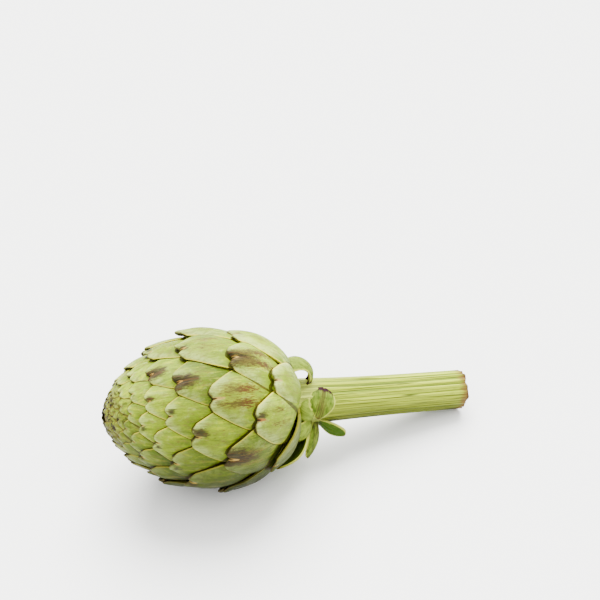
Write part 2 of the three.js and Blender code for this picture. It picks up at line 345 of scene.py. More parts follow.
def blank(columns, rows):
    """A flat bract blank: a grid from margin to margin and from tip to root."""
    bpy.ops.object.select_all(action="DESELECT")
    bpy.ops.mesh.primitive_grid_add(x_subdivisions=columns, y_subdivisions=rows, size=2)
    bpy.ops.object.mode_set(mode="EDIT")
    bpy.ops.mesh.flip_normals()
    bpy.ops.object.mode_set(mode="OBJECT")
    return bpy.context.object


def copy_of(sheet):
    """A copy of a blank, and each corner's share across (-1 to 1) and along (0 at the tip)."""
    copy = sheet.copy()
    copy.data = sheet.data.copy()
    bpy.context.collection.objects.link(copy)
    corners = corners_of(copy)
    return copy, corners[:, 0], (corners[:, 1] + 1) / 2


def stamp(sheet, name, *values):
    """Keep one value, or three, at each corner for the colours."""
    three = len(values) == 3
    layer = sheet.data.attributes.new(name, "FLOAT_VECTOR" if three else "FLOAT", "POINT")
    count = len(sheet.data.vertices)
    columns = [np.broadcast_to(np.asarray(v, dtype=np.float32), count) for v in values]
    layer.data.foreach_set("vector" if three else "value", np.stack(columns, axis=1).ravel())


def tip_edge(place, size, u):
    """How far the notched tip edge lies behind the foremost point, u across the bract."""
    uneven = SHOULDER_UNEVEN * np.random.default_rng(SHOULDER_SEED + place).uniform(-1, 1)
    dip = np.maximum(0, 1 - np.abs(u) / NOTCH_HALF_WIDTH) ** NOTCH_POINTED
    shoulder = SHOULDER_DROP * np.abs(u) ** SHOULDER_POWER * (1 + uneven * np.sign(u))
    return NOTCH_DEPTH * size * (dip + shoulder)


def half_width(size, tip, d):
    """Half a bract's width at d behind its tip: it widens, stays wide, and narrows to the neck."""
    straight = TIP_HALF_WIDTH + SPREAD * np.maximum(d, 0) / size
    rounded = straight**WIDENING_ROUNDED + BRACT_HALF_WIDTH**WIDENING_ROUNDED
    below = np.clip((tip + d - WIDEST_ALONG) / (SKIN_LENGTH - WIDEST_ALONG), 0, 1)
    return size**WIDTH_BY_SIZE * rounded ** (1 / WIDENING_ROUNDED) * (1 - NARROWING * below**2)


def girth(along):
    """The head's radius at a place along its skin, but never less than a bract can bend round."""
    return np.maximum(np.interp(along, skin_along, skin_radius), LEAST_GIRTH)


def cut_out(place, u, t):
    """Where points at u across and t along a bract lie: behind its tip, across it and round the
    head."""
    azimuth, notch, size, showing = bract_at(place)
    tip = notch - NOTCH_DEPTH * size
    length = min(LENGTH_BY_SHOWING * showing + LENGTH_MORE, SKIN_LENGTH - tip)
    edge = tip_edge(place, size, u)
    d = edge + (length - edge) * t**ROWS_CROWDED
    half = half_width(size, tip, d)
    return edge, d, half, tip + d, azimuth - u * half / girth(tip + d)


# The rim of each bract, as points up one margin, across the tip and down the other margin.
SIDE_POINTS = 24
TIP_POINTS = 41
RIM_ENDS = (0.75, 0.03)
margin = np.ones(SIDE_POINTS)
rim_u = np.concatenate([-margin, np.linspace(-1, 1, TIP_POINTS), margin])
up_it, down_it = (np.linspace(*ends, SIDE_POINTS) for ends in (RIM_ENDS, RIM_ENDS[::-1]))
rim_t = np.concatenate([up_it, np.zeros(TIP_POINTS), down_it])
rims = {q: cut_out(q, rim_u, rim_t)[3:] for q in range(INNERMOST - CROWN_BRACTS, OUTERMOST + 1)}
COVERED_UP_TO = 35
FAR_OFF = 99.0


def gap_to_rims(place, along, azimuth):
    """How far each point is from the nearest rim that lies over this bract. Covered points are
    below 0."""
    radius = girth(along)
    nearest = np.full(len(along), FAR_OFF)
    for q in range(place + 1, min(place + COVERED_UP_TO, OUTERMOST) + 1):
        rim_along, rim_azimuth = rims[q]
        a = along[:, None] - rim_along
        b = half_turn(azimuth[:, None] - rim_azimuth) * radius[:, None]
        step_a, step_b = a[:, :-1] - a[:, 1:], b[:, :-1] - b[:, 1:]
        share = (a[:, :-1] * step_a + b[:, :-1] * step_b) / (step_a**2 + step_b**2)
        not_round_the_back = np.abs(step_b) < 3 * radius[:, None]
        share = np.where(not_round_the_back, np.clip(share, 0, 1), 0)
        gaps = np.hypot(a[:, :-1] - share * step_a, b[:, :-1] - share * step_b).min(axis=1)
        middle, notch, size, _ = bract_at(q)
        tip = notch - NOTCH_DEPTH * size
        u = half_turn(middle - azimuth) * radius / half_width(size, tip, along - tip)
        covered = (np.abs(u) < 1) & (along - tip > tip_edge(q, size, u))
        nearest = np.minimum(nearest, np.where(covered, -gaps, gaps))
    return nearest


def head_bract(sheet, place, marks, fold):
    """One bract of the head, shaped from a blank, with what its colours need kept at its
    corners."""
    _, _, size, showing = bract_at(place)
    draw = np.random.default_rng(BRACT_SEED + place)
    bract, u, t = copy_of(sheet)
    edge, d, half, along, azimuth = cut_out(place, u, t)
    across = u * half
    from_side = (1 - np.abs(u)) * half * ASLANT
    from_edge = np.minimum(d - edge, from_side)

    arch = np.sin(np.pi * np.minimum(1, (d + BELLY_START) / (BELLY_LENGTH * showing)))
    sinking = 1 - np.exp(-d / (MARGIN_SINK_REACH * size))
    lobe = ((np.abs(across) - LOBE_OUT * size**WIDTH_BY_SIZE) / (LOBE_HALF_WIDTH * size)) ** 2
    lobe += (d / (LOBE_REACH * size)) ** 2
    valley = (across / (VALLEY_HALF_WIDTH * size)) ** 2 + d / (VALLEY_REACH * size)
    rounding = from_edge / (EDGE_REACH * size) + d / (EDGE_REACH_ALONG * size)
    ripple = np.sin(d / (MARGIN_WAVE_LENGTH * size) + draw.uniform(0, 6)) * np.abs(u) ** 3
    rolls = draw.uniform(0, 2 * math.pi, 4)
    rolling = np.sin(d / ROLL_ALONG + rolls[0]) * np.sin(across / ROLL_ACROSS + rolls[1])
    slanted = np.sin(across / FINE_ROLL_ACROSS + d / FINE_ROLL_ALONG[0] + rolls[2])
    rolling += FINE_ROLLING * slanted * np.sin(d / FINE_ROLL_ALONG[1] + rolls[3])
    tilted = draw.uniform(-TILT, TILT) * u

    height = FACE_RAISE + size * ORDER_RAISE * (place - ORDER_LEVEL)
    height += BELLY * size * (1 - u**2) * arch
    height -= MARGIN_SINK * size * np.abs(u) ** MARGIN_SINK_POWER * sinking
    height -= LAYER * (LAYER_LEAST + (1 - LAYER_LEAST) * size) * d / showing
    height += size * LOBE_PUFF * np.exp(-lobe)
    height -= size * VALLEY_DEPTH * np.exp(-valley)
    height -= size * EDGE_ROUNDING * np.exp(-rounding)
    height -= HUGGING.get(place, 0) * np.exp(-d / HUG_REACH)
    height += size * (MARGIN_WAVE * ripple + tilted + ROLLING * rolling)

    tuck = 0 if place in STANDING_OUT else TUCK
    move_corners(bract, on_skin(along, height, azimuth, tuck))
    stamp(bract, "on_bract", d, across, from_side)
    stamp(bract, "rim", d - edge)
    stamp(bract, "under", gap_to_rims(place, along, azimuth))
    stamp(bract, "own", draw.uniform(), draw.uniform(), size)
    stamp(bract, "marks", *marks)
    stamp(bract, "fold", *fold)
    return bract


def grown_together(sheets, name, thickness, *skins):
    """Join bracts into one piece and thicken them inwards. A second skin goes on their inner
    side."""
    bpy.ops.object.select_all(action="DESELECT")
    for sheet in sheets:
        sheet.select_set(True)
    bpy.context.view_layer.objects.active = sheets[0]
    bpy.ops.object.join()
    piece = bpy.context.object
    piece.name = name
    piece.data.name = name
    for skin in skins:
        piece.data.materials.append(skin)
    wall = piece.modifiers.new("thickness", "SOLIDIFY")
    wall.thickness = thickness * MM
    wall.offset = -1
    wall.material_offset = len(skins) - 1
    bpy.ops.object.modifier_apply(modifier=wall.name)
    corners = corners_of(piece)
    corners[:, 2] = np.maximum(corners[:, 2], REST_GAP * MM)
    move_corners(piece, corners)
    bpy.ops.object.shade_smooth_by_angle(angle=math.radians(50))
    return piece


def calc(tree, operation, a, b=None, clamp=False):
    node = tree.nodes.new("ShaderNodeMath")
    node.operation = operation
    node.use_clamp = clamp
    plug(tree, node.inputs[0], a)
    plug(tree, node.inputs[1], b)
    return node.outputs[0]


def at(tree, x, y, z):
    node = tree.nodes.new("ShaderNodeCombineXYZ")
    for socket, given in zip(node.inputs, (x, y, z)):
        plug(tree, socket, given)
    return node.outputs[0]


def coated(tree, colour, *coats):
    """A colour under coats of others. Each coat is given as how thickly it lies and its colour."""
    for share, coat in coats:
        colour = mix(tree, share, colour, coat)
    return colour


def stamped(tree, name):
    node = tree.nodes.new("ShaderNodeAttribute")
    node.attribute_name = name
    return node.outputs


def three_of(tree, name):
    return split(tree, stamped(tree, name)["Vector"])


def spot(tree, across, along, size, middle_across, middle_along, half_across, half_along):
    """Squared distance from a spot's middle, in spot radii, on a bract of this size."""
    shift_a = calc(tree, "SUBTRACT", across, calc(tree, "MULTIPLY", size, middle_across))
    shift_d = calc(tree, "SUBTRACT", along, calc(tree, "MULTIPLY", size, middle_along))
    a = calc(tree, "DIVIDE", shift_a, calc(tree, "MULTIPLY", size, half_across))
    d = calc(tree, "DIVIDE", shift_d, calc(tree, "MULTIPLY", size, half_along))
    return calc(tree, "ADD", calc(tree, "MULTIPLY", a, a), calc(tree, "MULTIPLY", d, d))


# Painted shade and light: the skin is darker towards the bottom of the head, darker from the crown
# to the shoulder and lighter towards the base. Each is given from and to in metres, and the tone at
# either end.
PAINTED_SHADE_BY_HEIGHT = (0.012, 0.088, 0.1, 1.5)
PAINTED_SHADE_TO_SHOULDER = (-0.05, -0.032, 0.95, 0.72)
PAINTED_LIGHT_TO_BASE = (-0.006, 0.026, 1.0, 1.65)


def bract_skin(name):
    """Waxy green: a pale bloom towards the margins, fresher green where a bract was covered,
    darkened there with painted shade, the fibres that run down it, and the brown marks of age and
    handling. Painted shadow lies in the creases under the next bracts, and painted shade and light
    go with height and place."""
    material, tree, shader = new_material(name)
    d, across, side = three_of(tree, "on_bract")
    rim = stamped(tree, "rim")["Fac"]
    under = stamped(tree, "under")["Fac"]
    own, own_two, size = three_of(tree, "own")
    stained, scratched, smudged = three_of(tree, "marks")
    red_fold, pale_fold, fold_reach = three_of(tree, "fold")
    seed = calc(tree, "MULTIPLY", own, 91)

    def plus(a, b):
        return calc(tree, "ADD", a, b)

    def minus(a, b):
        return calc(tree, "SUBTRACT", a, b)

    def times(a, b, clamp=False):
        return calc(tree, "MULTIPLY", a, b, clamp)

    def share_of(value, start, end, low=0.0, high=1.0):
        return fade(tree, value, start, end, low, high)

    def spread(along_scale, across_scale, shift, detail, roughness=0.5):
        """Noise that is stretched along the bract and different on each one."""
        where = at(tree, times(d, along_scale), times(across, across_scale), plus(seed, shift))
        return noise(tree, where, 1, detail, roughness)

    def swing(value, by):
        return times(minus(value, 0.5), by)

    def away_from(*values):
        return calc(tree, "POWER", spot(tree, *values), 0.5)

    veins = spread(0.05, 1.5, 0.0, 4, 0.6)
    streaks = spread(0.09, 0.5, 3, 5, 0.62)
    mottle = spread(0.14, 0.2, 7, 5, 0.6)
    grain = spread(0.9, 2.2, 11, 3)
    lines = spread(0.34, 2.2, 17, 5, 0.7)
    dry = spread(0.5, 0.5, 23, 4, 0.7)
    flecks = spread(0.35, 1.0, 29, 5, 0.65)
    fine = spread(0.45, 1.0, 31, 5, 0.7)
    scratches = spread(0.16, 2.2, 37, 4, 0.6)
    dull = spread(0.22, 0.5, 41, 5, 0.68)

    # The green of each bract, with the bloom, the fresh part near the covering bract (greener, and
    # darker with painted shade), streaks and mottles.
    edge = calc(tree, "MINIMUM", rim, side)
    inward = plus(calc(tree, "DIVIDE", edge, plus(times(size, 5), 1)), swing(mottle, 1.3))
    bloom = mix(tree, share_of(inward, 0.0, 1.15), srgb(134, 148, 74), srgb(104, 122, 12))
    # Near the rim of the covering bract the green is fresher, and darker with painted shade.
    deep = mix(tree, own_two, srgb(70, 92, 4), srgb(112, 134, 3))
    fresh_and_shaded = plus(calc(tree, "DIVIDE", under, plus(times(size, 9), 1)), swing(streaks, 1.0))
    yellowed = times(share_of(fresh_and_shaded, 1.0, 0.3), share_of(streaks, 0.46, 0.36))
    colour = coated(
        tree,
        bloom,
        (share_of(fresh_and_shaded, 1.05, 0.15, 0, 0.9), deep),
        (share_of(streaks, 0.5, 0.68, 0, 0.6), srgb(60, 80, 10)),
        (times(yellowed, 0.6), srgb(150, 160, 6)),
        (share_of(mottle, 0.52, 0.68, 0, 0.5), srgb(76, 92, 14)),
        (share_of(mottle, 0.46, 0.32, 0, 0.5), srgb(136, 150, 70)),
    )

    # Its fibres, fine flecks and scratches, duller patches, and the thin yellow line of its sides.
    colour = coated(
        tree,
        colour,
        (share_of(veins, 0.52, 0.68, 0, 0.25), srgb(66, 80, 18)),
        (share_of(veins, 0.45, 0.3, 0, 0.2), srgb(148, 156, 50)),
        (share_of(fine, 0.52, 0.68, 0, 0.6), srgb(70, 80, 20)),
        (share_of(fine, 0.46, 0.3, 0, 0.3), srgb(144, 152, 72)),
        (share_of(scratches, 0.64, 0.7, 0, 0.55), srgb(62, 56, 26)),
        (share_of(dull, 0.5, 0.66, 0, 0.55), srgb(98, 92, 40)),
        (share_of(plus(side, swing(grain, 0.5)), 0.7, 0.25, 0, 0.8), srgb(160, 154, 44)),
    )

    # Its tone, which differs a little from bract to bract, times the painted shade and light that
    # go with height and place.
    x, _, height = split(tree, object_place(tree))
    tone = plus(times(own_two, 0.25), 0.9)
    for where, change in ((height, PAINTED_SHADE_BY_HEIGHT), (x, PAINTED_SHADE_TO_SHOULDER), (x, PAINTED_LIGHT_TO_BASE)):
        tone = times(tone, share_of(where, *change))
    colour = mix(tree, 1, colour, at(tree, tone, tone, tone), "MULTIPLY")

    # The dry rim, and painted shadow in the crease where the next bract lies on this one.
    rough_under = calc(tree, "DIVIDE", plus(under, swing(grain, 0.4)), plus(times(size, 0.7), 0.3))
    painted_crease_shadow = times(share_of(rough_under, 0.8, 0.25, 0, 0.85), share_of(under, -2.6, -1.4))
    colour = coated(
        tree,
        colour,
        (share_of(plus(rim, swing(grain, 0.8)), 0.8, 0.2, 0, 0.8), srgb(62, 50, 18)),
        (painted_crease_shadow, srgb(38, 29, 6)),
    )

    # A brown stain behind the notch, nearly black at its core and rusty along the fibres, and a
    # smudge on one of the two lobes.
    reach = plus(times(stained, 5), 3)
    near = away_from(across, d, size, times(smudged, -2), 4.5, 3.4, reach)
    stain = plus(minus(times(stained, 1.3), near), swing(flecks, 2.4))
    core = plus(stain, swing(veins, 2.0))
    burnt = times(share_of(stain, 0.1, 0.6), share_of(veins, 0.5, 0.6))
    lobe_side = calc(tree, "SIGN", smudged)
    dirt = away_from(times(across, lobe_side), d, size, -3.2, 5.2, 2.4, 3.2)
    dirt = plus(dirt, swing(flecks, 4.6))
    smudge = times(share_of(dirt, 0.9, 0.1, 0, 0.75), calc(tree, "ABSOLUTE", smudged), True)
    colour = coated(
        tree,
        colour,
        (share_of(stain, -0.25, 0.4, 0, 0.9), srgb(46, 38, 18)),
        (share_of(core, 0.4, 0.8, 0, 0.85), srgb(31, 25, 10)),
        (times(burnt, 0.4), srgb(92, 62, 24)),
        (smudge, srgb(44, 46, 20)),
    )

    # The corky fold that runs back from the notch, and the slit in the notch itself.
    fold = plus(spot(tree, across, d, size, 0, 3.4, 0.9, fold_reach), swing(flecks, 1.6))
    in_fold = share_of(fold, 1.0, 0.4)
    slit = spot(tree, across, rim, size, 0, 0, 0.7, 2.2)
    colour = coated(
        tree,
        colour,
        (times(in_fold, 0.8), srgb(150, 128, 48)),
        (times(in_fold, red_fold, True), srgb(120, 50, 18)),
        (times(in_fold, pale_fold, True), srgb(168, 146, 78)),
        (share_of(slit, 1.0, 0.4, 0, 0.9), srgb(36, 28, 16)),
    )

    # Rust where bracts rubbed on each other: two bands of broken lines down a face.
    band = calc(tree, "ABSOLUTE", minus(across, times(size, 0.3)))
    struck = away_from(band, d, size, 3.7, 18, 2.8, 12)
    struck = plus(minus(scratched, times(struck, 0.9)), swing(lines, 5.0))
    rust = mix(tree, share_of(d, 14, 20), srgb(62, 50, 20), srgb(66, 22, 17))
    colour = coated(
        tree,
        colour,
        (share_of(struck, -0.25, 0.3, 0, 0.55), srgb(106, 98, 32)),
        (share_of(struck, 0.2, 0.55, 0, 0.85), rust),
    )

    # The small bracts of the crown are dull and withered, with burnt tips and black spots.
    withered = times(share_of(size, 0.46, 0.2), share_of(dry, 0.42, 0.56))
    burnt_tip = minus(plus(dry, times(own, 0.24)), times(d, 0.05))
    spots = noise(tree, object_place(tree), 190, 4, 0.6)
    spots = times(share_of(size, 0.5, 0.3), share_of(spots, 0.54, 0.6))
    colour = coated(
        tree,
        colour,
        (share_of(size, 0.56, 0.2, 0, 0.4), srgb(90, 92, 22)),
        (times(withered, 0.65), srgb(86, 70, 26)),
        (times(share_of(size, 0.4, 0.26), share_of(burnt_tip, 0.58, 0.64)), srgb(24, 17, 10)),
        (times(spots, 0.9), srgb(30, 20, 12)),
    )

    plug(tree, shader.inputs["Base Color"], colour)
    plug(tree, shader.inputs["Roughness"], share_of(mottle, 0.2, 0.8, 0.42, 0.6))
    shader.inputs["Specular IOR Level"].default_value = 0.08
    ridges = bump(tree, veins, 0.22 * MM)
    plug(tree, shader.inputs["Normal"], bump(tree, grain, 0.06 * MM, under=ridges))
    return material


bract_green = bract_skin("bract_green")

# How stained, how scratched and how smudged the bracts of the best side are. A smudge below 0 is on
# the other lobe. The bracts not named here draw theirs.
MARKS = {
    -10: (0.3, 0, 1.1),
    -5: (0.5, 0, -0.8),
    -2: (0.2, 0, 1.3),
    0: (1.05, 0, 0.3),
    3: (0.35, 0, -1.2),
    6: (0.1, 0, 1.2),
    8: (1.15, 0.2, 0.2),
    11: (0.65, 0, -1.3),
    13: (0.5, 0.4, 0.2),
    14: (0.4, 0, 0.8),
    16: (0.2, 1.05, 0.9),
    19: (1.3, 0.3, -0.7),
    21: (1.2, 0.95, 0.3),
    24: (0.5, 0.4, -0.9),
    26: (0.4, 0.3, 0.2),
    29: (0.15, 0, 0),
}
# How red and how pale the fold behind the notch is, and how far it reaches.
FOLDS = {
    0: (0.35, 0.1, 2.8),
    8: (0.4, 0, 3),
    16: (0.3, 0.4, 6),
    19: (0.4, 0.3, 5),
    24: (0.9, 0.2, 4.5),
    29: (0.1, 0.9, 5),
}
USUAL_FOLD = (0.15, 0, 3)
USUAL_STAIN = 0.45
USUAL_SCRATCH = 0.5
USUAL_SMUDGE = 1.2
MARKS_SEED = 500


def marks_of(place):
    draw = np.random.default_rng(MARKS_SEED + place)
    stain = USUAL_STAIN * draw.uniform() ** 2
    scratch = USUAL_SCRATCH * draw.uniform() ** 3
    smudge = USUAL_SMUDGE * draw.uniform(-1, 1)
    return MARKS.get(place, (stain, scratch, smudge))


def ring_of_bracts(name, places, cells, thickness):
    sheet = blank(*cells)
    bracts = [
        head_bract(sheet, place, marks_of(place), FOLDS.get(place, USUAL_FOLD)) for place in places
    ]
    bpy.data.objects.remove(sheet)
    piece = grown_together(bracts, name, thickness, bract_green)
    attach(piece, "root")
    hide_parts("head")


ring_of_bracts("outer_bracts", range(OUTER_FROM, OUTERMOST + 1), (48, 40), 1.2)
ring_of_bracts("middle_bracts", range(MIDDLE_FROM, OUTER_FROM), (36, 28), 0.8)
ring_of_bracts("crown_bracts", range(INNERMOST - CROWN_BRACTS, MIDDLE_FROM), (18, 14), 0.45)

# ---- The loose bracts at the neck ----------------------------------------------------------
# Round the neck a few small bracts stand loose: stiff, cupped leaves that leave it steeply and bend
# over towards the head, clasp the neck or hang from it. Their margins are thin and pale, their
# inner side is painted darker as shade and is browner, and their roots are purplish.
LOOSE_THICKNESS = 1.1
LOOSE_ROOT = 0.45
FULL_AT = 5 / 9
LEAST_FULL = 0.02
MARGIN_CURL_WAVE = 0.35
FACE_WAVE = 0.25
MIDRIB_DEPTH = 0.5
MIDRIB_HALF_WIDTH = 0.12


def loose_bract(
    sheet, seed, x, azimuth, root, heading, rise, bend, length, half, curl, widest, blunt, tone
):
    """A leaf that grows from the neck at x, azimuth and root (its distance from the axis). It heads
    round the neck by heading, leaves it at rise and bends over by bend, in degrees. It is widest at
    that share of its length from the root, and tone says how deep, brown and purple it is."""
    azimuth, heading, rise = math.radians(azimuth), math.radians(heading), math.radians(rise)
    out = np.array([0, -math.sin(azimuth), math.cos(azimuth)])
    round_it = np.array([0, -math.cos(azimuth), -math.sin(azimuth)])
    ahead = round_it * math.sin(heading) - np.array([math.cos(heading), 0, 0])
    sideways = np.cross(ahead, out)
    turn = math.radians(bend) / length
    crowding = math.log(FULL_AT) / math.log(widest)
    bract, u, t = copy_of(sheet)
    angle = rise - turn * length * (1 - t)
    reach = (math.sin(rise) - np.sin(angle)) / turn
    lift = (np.cos(angle) - math.cos(rise)) / turn
    full = LOOSE_ROOT + (1 - LOOSE_ROOT) * np.sin(0.5 * np.pi / FULL_AT * (1 - t) ** crowding)
    width = half * full * np.sqrt(np.maximum(LEAST_FULL, 1 - (1 - t) ** blunt))
    wave = MARGIN_CURL_WAVE * np.sin(7 * t + seed) * np.abs(u) ** 3
    wave = wave + FACE_WAVE * np.sin(4.5 * t + 2.6 * u + seed)
    midrib = MIDRIB_DEPTH * np.exp(-((u / MIDRIB_HALF_WIDTH) ** 2)) * t
    raised = 0.5 * LOOSE_THICKNESS - curl * width * u**2 + wave - midrib
    normal = out * np.cos(angle)[:, None] - ahead * np.sin(angle)[:, None]
    places = np.array([x, 0, 0]) + out * root
    places = places + ahead * reach[:, None] + out * lift[:, None]
    places = places + sideways * (u * width)[:, None] + normal * raised[:, None]
    beside = np.arctan2(-places[:, 1], places[:, 2])
    move_corners(bract, lay_down(places[:, 0], beside, np.hypot(places[:, 1], places[:, 2])))
    stamp(bract, "on_bract", length * t, u * width, (1 - np.abs(u)) * width)
    stamp(bract, "leaf", t, seed, 0)
    stamp(bract, "tone", *tone)
    return bract


def loose_skin(name, pale, green, edging, share_of_brown):
    """Pale to deep green with fibres along it, a light edge, a dry brown tip and middle, and a
    purple root."""
    material, tree, shader = new_material(name)
    d, across, side = three_of(tree, "on_bract")
    share, seed, _ = three_of(tree, "leaf")
    deep, brown, purple = three_of(tree, "tone")

    def plus(a, b, clamp=False):
        return calc(tree, "ADD", a, b, clamp)

    def times(a, b, clamp=False):
        return calc(tree, "MULTIPLY", a, b, clamp)

    def on_leaf(along_scale, across_scale, shift):
        return at(tree, times(d, along_scale), times(across, across_scale), plus(seed, shift))

    fibres = noise(tree, on_leaf(0.1, 2.4, 0), 1, 4, 0.6)
    patches = noise(tree, on_leaf(0.3, 0.5, 9), 1, 5, 0.62)
    uneven = calc(tree, "SUBTRACT", patches, 0.5)
    stringy = calc(tree, "SUBTRACT", fibres, 0.5)
    off_middle = calc(tree, "ABSOLUTE", times(across, 0.3))
    dried = calc(tree, "SUBTRACT", times(brown, share_of_brown), times(off_middle, 0.6))
    dried = fade(tree, plus(dried, times(stringy, 3.2)), 0.35, 0.9)
    root = fade(tree, plus(share, times(uneven, 0.35)), 0.8, 0.92)
    colour = coated(
        tree,
        pale,
        (plus(deep, times(uneven, 2.4), True), green),
        (fade(tree, fibres, 0.48, 0.66, 0, 0.6), srgb(66, 80, 18)),
        (fade(tree, plus(side, times(uneven, 0.8)), 0.9, 0.3, 0, 0.8), edging),
        (fade(tree, plus(d, times(uneven, 1.5)), 1.1, 0.2, 0, 0.85), srgb(84, 64, 26)),
        (times(dried, brown, True), srgb(66, 54, 26)),
        (times(root, purple, True), srgb(40, 14, 24)),
    )
    plug(tree, shader.inputs["Base Color"], colour)
    plug(tree, shader.inputs["Normal"], bump(tree, fibres, 0.25 * MM))
    shader.inputs["Roughness"].default_value = 0.55
    shader.inputs["Specular IOR Level"].default_value = 0.05
    return material


loose_green = loose_skin(
    "loose_green", srgb(120, 138, 40), srgb(48, 74, 6), srgb(168, 172, 66), share_of_brown=1.0
)
# The inner side: the same skin, darker as painted shade and browner where dry.
loose_inner_shade = loose_skin(
    "loose_inner_shade", srgb(64, 80, 8), srgb(34, 50, 3), srgb(150, 152, 60), share_of_brown=1.6
)

LOOSE_BRACTS = {
    "arched": dict(
        x=53.1, azimuth=-9, root=11.5, heading=-17, rise=116, bend=165,
        length=28.5, half=7.5, curl=0.5, widest=0.79, blunt=13, tone=(0.25, 0.5, 1),
    ),
    "pale_fan": dict(
        x=52.4, azimuth=88, root=13, heading=-19.5, rise=38.5, bend=130,
        length=14, half=9.2, curl=0.5, widest=0.8, blunt=14, tone=(0.1, 0, 0.2),
    ),
    "small_fan": dict(
        x=52.2, azimuth=101.5, root=13, heading=33, rise=72, bend=66.5,
        length=14, half=7.9, curl=0.5, widest=0.7, blunt=12, tone=(0.2, 0.6, 0.3),
    ),
    "broad": dict(
        x=52, azimuth=148.5, root=10, heading=-25, rise=73.5, bend=53.5,
        length=32.8, half=11.5, curl=0.29, widest=0.6, blunt=13, tone=(0.5, 0.2, 0.3),
    ),
    "behind": dict(
        x=51, azimuth=-95, root=10, heading=5, rise=84, bend=90,
        length=28, half=8, curl=0.35, widest=0.6, blunt=8, tone=(0.3, 0.4, 0.6),
    ),
    "behind_below": dict(
        x=51.5, azimuth=-150, root=10, heading=-8, rise=86, bend=100,
        length=25, half=7, curl=0.35, widest=0.6, blunt=8, tone=(0.4, 0.2, 0.5),
    ),
    "clasping": dict(
        x=59.8, azimuth=16.5, root=12, heading=69.5, rise=9, bend=68,
        length=17.7, half=7.6, curl=0.14, widest=0.49, blunt=3.3, tone=(0.5, 0.85, 1),
    ),
    "hanging": dict(
        x=56.3, azimuth=113, root=12.5, heading=75, rise=69, bend=49,
        length=21.3, half=3.7, curl=0.49, widest=0.44, blunt=10, tone=(0.6, 0.7, 0.4),
    ),
    "pointing_back": dict(
        x=57.8, azimuth=118, root=11.4, heading=165, rise=30, bend=7,
        length=18.3, half=4.9, curl=0.05, widest=0.58, blunt=14, tone=(1.2, 0.1, 0.3),
    ),
}
FIRST_SEED = 60

sheet = blank(20, 36)
seeded = enumerate(LOOSE_BRACTS.values(), FIRST_SEED)
loose = [loose_bract(sheet, seed, **sizes) for seed, sizes in seeded]
bpy.data.objects.remove(sheet)
loose_bracts = grown_together(loose, "loose_bracts", LOOSE_THICKNESS, loose_green, loose_inner_shade)
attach(loose_bracts, "root")
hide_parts("head")

# ---- The stem ------------------------------------------------------------------------------
# A stout, juicy, ribbed stalk, a little wider at the neck where it is one with the head's base. It
# was cut across with a knife, and the cut has dried and browned.
STEM_RADIUS = 10.4
STEM_START = 40
START_SHARE = 0.06
BASE_X = 53
CUT_X = 146.5
CUT_SHARE = 0.8
CUT_RAGGED = 0.5
STEM_RIBS = 19
RIB_HEIGHT = 0.35
NECK_FLARE = 2
FLARE_LENGTH = 30

stem_skin, tree, shader = new_material("stem_skin")
x, round_mm, rib = three_of(tree, "on_stem")


def on_stem(along_scale, round_scale, shift):
    along = calc(tree, "MULTIPLY", x, along_scale)
    return at(tree, along, calc(tree, "MULTIPLY", round_mm, round_scale), shift)


def stem_times(a, b):
    return calc(tree, "MULTIPLY", a, b)


bands = noise(tree, on_stem(0.003, 0.4, 0), 1, 2, 0.4)
fibres = noise(tree, on_stem(0.02, 2.6, 5), 1, 4, 0.6)
blotch = noise(tree, on_stem(0.12, 0.3, 9), 1, 5, 0.6)
lines = calc(tree, "PINGPONG", stem_times(bands, 22), 1)
groove = fade(tree, calc(tree, "ADD", lines, stem_times(blotch, 0.2)), 0.42, 0.2)
deep_rib = fade(tree, calc(tree, "ADD", rib, stem_times(fibres, 0.5)), 0.1, -0.6)
to_cut = calc(tree, "ADD", x, stem_times(calc(tree, "ADD", fibres, blotch), 8))
colour = mix(tree, fade(tree, fibres, 0.35, 0.65), srgb(130, 146, 20), srgb(168, 180, 44))
colour = coated(
    tree,
    colour,
    (stem_times(deep_rib, 0.8), srgb(72, 92, 14)),
    (stem_times(groove, 0.9), srgb(48, 62, 10)),
)
# Painted light on its upper side and painted shade on its sides and underside: lighter on top,
# darker round the sides and underneath.
tone = fade(tree, calc(tree, "ABSOLUTE", round_mm), 7, 22, 1.15, 0.32)
colour = mix(tree, 1, colour, at(tree, tone, tone, tone), "MULTIPLY")
colour = coated(
    tree,
    colour,
    (fade(tree, blotch, 0.55, 0.72, 0, 0.4), srgb(96, 116, 26)),
    (fade(tree, x, 64, 50, 0, 0.6), srgb(150, 160, 70)),
    (fade(tree, to_cut, 149, 153.5, 0, 0.85), srgb(104, 70, 34)),
    (fade(tree, x, 145.2, 146.6, 0, 0.8), srgb(70, 42, 24)),
)
plug(tree, shader.inputs["Base Color"], colour)
furrows = bump(tree, groove, -0.3 * MM, under=bump(tree, fibres, 0.15 * MM))
plug(tree, shader.inputs["Normal"], furrows)
shader.inputs["Roughness"].default_value = 0.5
shader.inputs["Specular IOR Level"].default_value = 0.1

cut_pith, tree, shader = new_material("cut_pith")
pith = noise(tree, object_place(tree), 420, 5, 0.7)
outward = calc(tree, "ADD", stamped(tree, "cut")["Fac"], calc(tree, "MULTIPLY", pith, 0.3))
colour = coated(
    tree,
    mix(tree, fade(tree, pith, 0.35, 0.65), srgb(104, 92, 38), srgb(148, 140, 76)),
    (fade(tree, outward, 0.78, 0.92), srgb(84, 60, 26)),
    (fade(tree, outward, 0.98, 1.1), srgb(58, 38, 22)),
)
plug(tree, shader.inputs["Base Color"], colour)
plug(tree, shader.inputs["Normal"], bump(tree, pith, 0.6 * MM))
shader.inputs["Roughness"].default_value = 0.85

